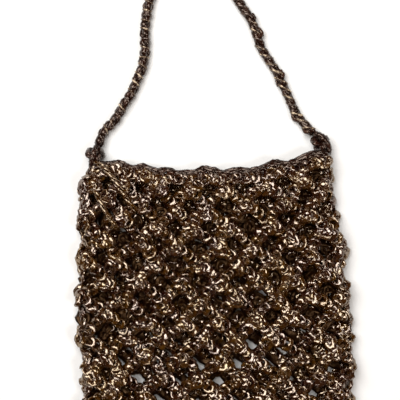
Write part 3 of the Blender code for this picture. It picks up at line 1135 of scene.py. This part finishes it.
@dataclass
class MouthEdging:
    """The dense edging round the mouth, and the foundation chain along the bottom."""

    form: PouchForm
    finish: FoiledLeather

    # Slanting stitches under the very edge, at a row that follows most of its scallops
    lace: Lace = Lace(4.0 * MM, 2.8 * MM)
    loop: Loop = Loop(11.0 * MM, 9.0 * MM, lean=1.8 * MM)
    count: int = 92
    row: float = 0.26
    follows: float = 0.8
    front_lift: float = 3.9 * MM
    back_lift: float = 4.2 * MM
    slant: float = 0.7
    spin_spread: float = 0.3
    pitch_spread: float = 0.15

    # Strands of the very edge: rows down from the mouth, lift in millimetres, phase
    edges: tuple = (
        (-0.13, 3.6, 0.0),
        (-0.05, 4.9, 1.9),
        (-0.05, 2.2, 3.9),
    )
    edge_lace: Lace = Lace(4.6 * MM, 3.8 * MM, wobble=0.12, tone=0.2)
    edge_steps: int = 300

    # Their waves, at so many radians a column: rows, then millimetres of lift
    row_wave: tuple[float, float] = (0.03, 9)
    lift_wave: tuple[float, float] = (0.5, 11)

    # The bottom's chain
    chain_loop: Loop = Loop(12.5 * MM, 15.0 * MM, lean=1.6 * MM)
    chain_count: int = 42
    chain_start: float = 0.3
    chain_drop: float = 3.0 * MM
    chain_spin: float = 0.2

    # Rises of the edge over its smooth curve, in millimetres: across, rise
    scallop_width: float = 7.0 * MM
    scallops: tuple = (
        (-118.0, -1.6), (-92.0, -1.3), (-77.6, 1.8), (-64.0, -1.2), (-52.0, 2.2), (-41.0, -1.2),
        (-14.0, 4.5), (-2.0, 2.4), (10.0, -1.4), (27.7, 1.6), (39.0, -1.2), (59.0, 2.0),
        (69.0, 2.4), (97.0, 1.6), (107.0, 2.6),
    )

    def rise(self, s: Array) -> Array:
        """How far the scallops lift the edge, a sum of bells.

        Args:
            s: columns.

        Returns:
            The rise at each column, in rows upwards.
        """
        x = self.form.inside(s, 0 * s)[0][:, 0]
        away = [(x - place * MM) / self.scallop_width for place, _ in self.scallops]
        bells = sum(rise * MM * np.exp(-(far**2)) for far, (_, rise) in zip(away, self.scallops))
        return bells / self.form.row_pitch

    def mouth(self) -> MeshParts:
        """Slanting stitches round the mouth, and rounded strands along the very edge.

        Returns:
            Their mesh.
        """
        s = np.arange(self.count) / self.count * self.form.columns
        t = self.row - self.follows * self.rise(s)
        front = self.form.inside(s, t)[1]
        lift = self.front_lift * front + self.back_lift * (1 - front)
        frames = self.form.laid(s, t, lift, ROUND_THE_GIRTH)
        rng = np.random.default_rng(8)
        spin = self.slant + self.spin_spread * rng.standard_normal(self.count)
        frames = frames.turned(spin, self.pitch_spread * rng.standard_normal(self.count))
        sets = [stitches(frames, self.loop, self.lace, seed=21)]
        s = np.linspace(0, self.form.columns, self.edge_steps, endpoint=False)
        for number, (row, lift, phase) in enumerate(self.edges):
            t = row - self.rise(s) + self.row_wave[0] * np.sin(self.row_wave[1] * s + phase)
            path, _ = self.form.inside(s, t)
            up = self.form.outward(s, t)
            height = lift + self.lift_wave[0] * np.sin(self.lift_wave[1] * s + phase)
            sets.append(strand(path + height[:, None] * MM * up, up, self.edge_lace, True, 31 + number))
        return MeshParts.joined(sets)

    def bottom(self) -> MeshParts:
        """The foundation chain, a row of stitches over the closed bottom edge.

        Returns:
            Its mesh.
        """
        form, count = self.form, self.chain_count
        s = (np.arange(count) + self.chain_start) / count * (form.columns / 2)
        t = np.full(count, float(form.rows))
        front_side, _ = form.inside(s - form.fold_phase, t)
        back_side, _ = form.inside(form.columns - s - form.fold_phase, t)
        middle = (front_side + back_side) / 2
        along = headings(middle, closed=False)
        up = np.cross(along, np.tile([0.0, 0.0, 1.0], (count, 1)))
        up *= np.sign(-up[:, 1:2])
        frames = Frames(middle + self.chain_drop * up, along, np.cross(up, along), up)
        rng = np.random.default_rng(9)
        spin = self.chain_spin * rng.standard_normal(count)
        frames = frames.turned(spin, self.pitch_spread * rng.standard_normal(count))
        return stitches(frames, self.chain_loop, self.lace, seed=23)

    def build(self) -> list[bpy.types.Object]:
        """Makes the edging and the bottom chain.

        Returns:
            The two pieces.
        """
        material = self.finish.material()
        return [
            new_piece("pouch_mouth_edging", self.mouth(), material),
            new_piece("pouch_bottom_chain", self.bottom(), material),
        ]


@dataclass
class Strap:
    """The strap: one crocheted chain cord laid out in its loose curve.

    Three plies of lace turn round a core, and a thin tight turn closes each link.
    """

    centre: tuple[float, float]
    finish: FoiledLeather
    # The turns' finish has a painted highlight: its pale base colour stands in for their glint
    turn_highlight_finish: FoiledLeather
    diameter: float = 12.0 * MM
    rest: float = 6.05 * MM
    step: float = 1.6 * MM
    link: float = 10.4 * MM
    core: Lace = Lace(8.4 * MM, 8.0 * MM, wobble=0.03, tone=0.1)
    ply: Lace = Lace(7.4 * MM, 4.6 * MM, wobble=0.05, tone=0.3)

    # The turns that close the links, in a finish whose pale base colour is a painted highlight
    turn: Lace = Lace(2.8 * MM, 2.4 * MM)
    turn_loop: Loop = Loop(9.2 * MM, 9.2 * MM, lean=0.0, pinch=0.0, twist=0.1, crumple=0.1 * MM,
                           size_spread=0.02, girth_spread=0.05)
    slant_spread: float = 0.08

    # Stray stitches that stand out at one side, and up: share of the strap, side
    lump: Lace = Lace(3.8 * MM, 3.4 * MM)
    lump_loop: Loop = Loop(8.0 * MM, 3.4 * MM, lean=0.8 * MM)
    lump_out: float = 4.0 * MM
    lump_up: float = 1.0 * MM
    lumps: tuple = ((0.718, 1), (0.750, 1), (0.854, 1), (0.871, -1), (0.947, -1), (0.985, -1))

    # Along the strap: share, offset of the plies in millimetres, share that a link swells,
    # slant of its turn, turns of the plies to a link
    stretches: tuple = (
        (0.00, 3.2, 0.10, 0.60, 0.25),
        (0.18, 3.2, 0.12, 0.40, 0.20),
        (0.22, 3.3, 0.17, 0.10, 0.12),
        (0.34, 3.3, 0.17, 0.15, 0.12),
        (0.50, 3.2, 0.10, 0.70, 0.28),
        (0.64, 3.1, 0.06, 0.90, 0.33),
        (1.00, 2.9, 0.06, 0.90, 0.33),
    )

    # The route in millimetres, left knot to right: across, along, rise off the surface
    route: tuple = (
        (-131.8, 173.0, 3.3), (-124.1, 190.4, 0.6), (-114.0, 201.0, 0.0), (-100.0, 223.5, 0.0),
        (-92.8, 236.0, 0.0), (-83.8, 257.6, 0.0), (-80.5, 269.0, 0.0), (-78.8, 291.2, 0.0),
        (-79.2, 304.0, 0.0), (-76.5, 324.8, 0.0), (-69.8, 353.9, 0.0), (-64.2, 373.0, 0.0),
        (-55.2, 389.8, 0.0), (-44.0, 400.8, 0.0), (-30.6, 404.3, 0.0), (-17.1, 397.6, 0.0),
        (-5.9, 385.8, 0.0), (10.9, 359.5, 0.0), (26.0, 336.0, 0.0), (33.3, 324.8, 0.0),
        (41.1, 313.0, 0.0), (48.9, 291.2, 0.0), (53.4, 280.0, 0.0), (68.0, 257.6, 0.0),
        (79.2, 235.2, 0.0), (89.3, 212.8, 0.0), (96.8, 201.6, 0.3), (110.0, 186.7, 3.0),
    )

    def path(self) -> Array:
        """Even points along the strap's middle."""
        route = np.array(self.route) * MM
        return along_route(route + (-self.centre[0], -self.centre[1], self.rest), self.step)

    def stretch(self, share: Array) -> list[Array]:
        """The stretches' columns, offset to turns, at shares of the strap."""
        table = np.array(self.stretches)
        return [np.interp(share, table[:, 0], column) for column in table[:, 1:].T]

    def chain(self, points: Array, axis: Array, level: Array) -> MeshParts:
        """The core, its three plies and the stray stitches.

        A ply's middle circles the strap's own middle as often as its stretch says, and
        each link swells by a cosine.

        Args:
            points: the strap's middle.
            axis: its heading at each point.
            level: the level direction to its left.

        Returns:
            Their mesh.
        """
        up = np.cross(axis, level)
        count = len(points)
        at = np.linspace(0, 1, count)
        links = at * self.length(points) / self.link
        offset, swelling, _, turning = self.stretch(at)
        turned = np.cumsum(turning * np.gradient(links))
        bulge = 1 - swelling * np.cos(2 * math.pi * links)
        offset = (offset * bulge)[:, None] * MM
        sets = [strand(points, up, self.core, False, 40)]
        for number in range(3):
            angle = 2 * math.pi * (number / 3 - turned)[:, None]
            out = np.cos(angle) * level + np.sin(angle) * up
            sets.append(strand(points + offset * out, out, self.ply, False, 41 + number, swell=bulge))
        places, side = np.array(self.lumps).T
        near = np.round(places * (count - 1)).astype(int)
        middle = points[near] + self.lump_out * side[:, None] * level[near] + self.lump_up * up[near]
        stray = Frames(middle, axis[near], level[near], up[near])
        sets.append(stitches(stray, self.lump_loop, self.lump, seed=46))
        return MeshParts.joined(sets)

    def turns(self, points: Array, axis: Array, level: Array) -> MeshParts:
        """The thin turn that closes each link, slanting as its stretch says.

        Args:
            points: the strap's middle.
            axis: its heading at each point.
            level: the level direction to its left.

        Returns:
            Their mesh.
        """
        near = np.arange(self.link / self.step, len(points) - 2, self.link / self.step).astype(int)
        _, _, slant, _ = self.stretch(near / (len(points) - 1))
        slant = slant + self.slant_spread * np.random.default_rng(17).standard_normal(len(near))
        frames = Frames(points[near], level[near], np.cross(axis[near], level[near]), axis[near])
        frames = frames.turned(0 * slant, slant)
        sets = []
        for number, leaning in enumerate(slant):
            one = frames.only(np.arange(len(near)) == number)
            loop = replace(self.turn_loop, length=self.turn_loop.length / math.cos(leaning))
            sets.append(stitches(one, loop, self.turn, seed=60 + number))
        return MeshParts.joined(sets)

    @staticmethod
    def length(points: Array) -> float:
        """Length of the strap's middle."""
        return float(np.linalg.norm(np.diff(points, axis=0), axis=1).sum())

    def build(self, knots: list[bpy.types.Object]) -> list[bpy.types.Object]:
        """Args:
            knots: the pieces at its two ends; not used.

        Returns:
            The strap and its turns.
        """
        points = self.path()
        axis = headings(points, closed=False)
        level = unit(np.cross(np.array([0.0, 0.0, 1.0]), axis))
        gloss, bright = self.finish.material(), self.turn_highlight_finish.material()
        strap = new_piece("strap_chain", self.chain(points, axis, level), gloss)
        turns = new_piece("strap_turns", self.turns(points, axis, level), bright)
        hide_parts("strap")
        self.length(points)
        return [strap, turns]


@dataclass
class StrapKnot:
    """A strap end tied in an overhand knot, its tail passing over it into the pouch's corner.

    Middle, half size and tail are in millimetres: across, along, height.
    """

    name: str
    node: str
    finish: FoiledLeather
    middle: tuple[float, float, float]
    half_size: tuple[float, float, float]
    turn: float
    tail: tuple
    lace: Lace = Lace(6.4 * MM, 5.0 * MM, wobble=0.08, tone=0.35)
    tail_lace: Lace = Lace(6.6 * MM, 5.0 * MM, wobble=0.08, tone=0.35)
    steps: int = 72
    tail_step: float = 1.2 * MM
    ply_offset: float = 1.5 * MM
    half_turns: float = 7.0

    def build(self) -> bpy.types.Object:
        """Makes the knot.

        Round an angle, the overhand knot runs at sine plus twice the sine of the double
        angle, at cosine less twice the cosine of the double angle, and at less the sine
        of the triple angle; then it is stretched to the knot's half sizes.

        Returns:
            The knot.
        """
        angle = np.linspace(0, 2 * math.pi, self.steps, endpoint=False) + self.turn
        x = np.sin(angle) + 2 * np.sin(2 * angle)
        y = np.cos(angle) - 2 * np.cos(2 * angle)
        z = -np.sin(3 * angle)
        inner = np.array(self.half_size) * MM - self.lace.thickness / 2 - self.ply_offset
        path = np.stack([x / 3, y / 3, z], axis=1) * inner + np.array(self.middle) * MM
        tail = along_route(np.array(self.tail) * MM, self.tail_step)
        sets = two_plies(path, self.lace, self.ply_offset, self.half_turns, True, 51)
        sets += two_plies(tail, self.tail_lace, self.ply_offset, self.half_turns, False, 55)
        knot = new_piece(self.name, MeshParts.joined(sets), self.finish.material())
        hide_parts(self.node)
        return knot


@dataclass(frozen=True)
class Studio:
    """Pale floor, soft light and a camera that looks straight down."""

    pixels: int = 400
    pixel: float = 1.12 * MM
    middle: tuple[float, float] = (-16.6 * MM, 118.7 * MM)
    subject_height: float = 13.0 * MM
    lens_mm: float = 110.0
    sensor_mm: float = 36.0
    floor_side: float = 6.0
    sky: str = "#FFBE80"
    sky_strength: float = 0.09
    aim_below_middle: float = 0.1

    # Square area lights: name, place, side, watts
    lights: tuple = (
        ("key", (-0.7, 0.8, 1.9), 1.7, 59.0),
        ("side", (1.0, -0.4, 1.8), 0.7, 14.0),
    )

    def build(self) -> None:
        """Makes the sky, the floor, the lights and the camera."""
        scene = bpy.context.scene
        scene.view_settings.view_transform = "Standard"
        world = bpy.data.worlds.new("studio")
        world.use_nodes = True
        background = world.node_tree.nodes["Background"]
        background.inputs["Color"].default_value = linear(self.sky)
        background.inputs["Strength"].default_value = self.sky_strength
        scene.world = world

        half = self.floor_side / 2
        corners = [(-half, -half, 0), (half, -half, 0), (half, half, 0), (-half, half, 0)]
        mesh = bpy.data.meshes.new("floor")
        mesh.from_pydata(corners, [], [(0, 1, 2, 3)])
        mesh.materials.append(PaintedBoard().material())
        floor = bpy.data.objects.new("floor", mesh)
        scene.collection.objects.link(floor)

        for name, place, side, power in self.lights:
            light = bpy.data.lights.new(name, "AREA")
            light.shape = "SQUARE"
            light.size = side
            light.energy = power
            lamp = bpy.data.objects.new(name, light)
            lamp.location = place
            aim = Vector((self.middle[0], self.middle[1] - self.aim_below_middle, 0)) - Vector(place)
            lamp.rotation_euler = aim.to_track_quat("-Z", "Y").to_euler()
            scene.collection.objects.link(lamp)

        distance = self.pixels * self.pixel / self.sensor_mm * self.lens_mm
        camera = bpy.data.objects.new("camera", bpy.data.cameras.new("camera"))
        camera.data.lens = self.lens_mm
        camera.data.sensor_width = self.sensor_mm
        camera.location = (*self.middle, distance + self.subject_height)
        scene.collection.objects.link(camera)
        scene.camera = camera


def main() -> None:
    """Builds the studio and the bag, piece by piece, and logs each piece's face count."""
    logging.basicConfig(level=logging.INFO, format="%(message)s")
    Studio().build()
    form = PouchForm()
    net = ArchNet(form, CROCHETED, INNER_SIDE_PAINTED_SHADE).build()
    ground, on_it = net[0], net[1:] + MouthEdging(form, DRAWN_TIGHT).build()
    left = StrapKnot(
        "knot_left",
        "strap_knot_left",
        DRAWN_TIGHT,
        middle=(-134.65, 169.21, 10.0),
        half_size=(12.2, 11.4, 10.0),
        turn=0.4,
        tail=(
            (-131.3, 180.0, 11.0), (-133.5, 174.5, 17.0), (-135.8, 168.0, 18.5),
            (-137.5, 161.0, 15.0), (-138.5, 154.5, 9.0),
        ),
    )
    right = StrapKnot(
        "knot_right",
        "strap_knot_right",
        DRAWN_TIGHT,
        middle=(117.95, 182.61, 10.5),
        half_size=(12.0, 11.8, 10.2),
        turn=1.9,
        tail=(
            (110.8, 193.2, 10.0), (117.5, 191.0, 14.5), (123.5, 186.0, 16.0), (127.0, 178.5, 14.0),
            (127.5, 170.0, 10.0),
        ),
    )
    Strap(form.centre, DRAWN_TIGHT, FOIL_PAINTED_HIGHLIGHT).build([left.build(), right.build()])


if __name__ == "__main__":
    main()
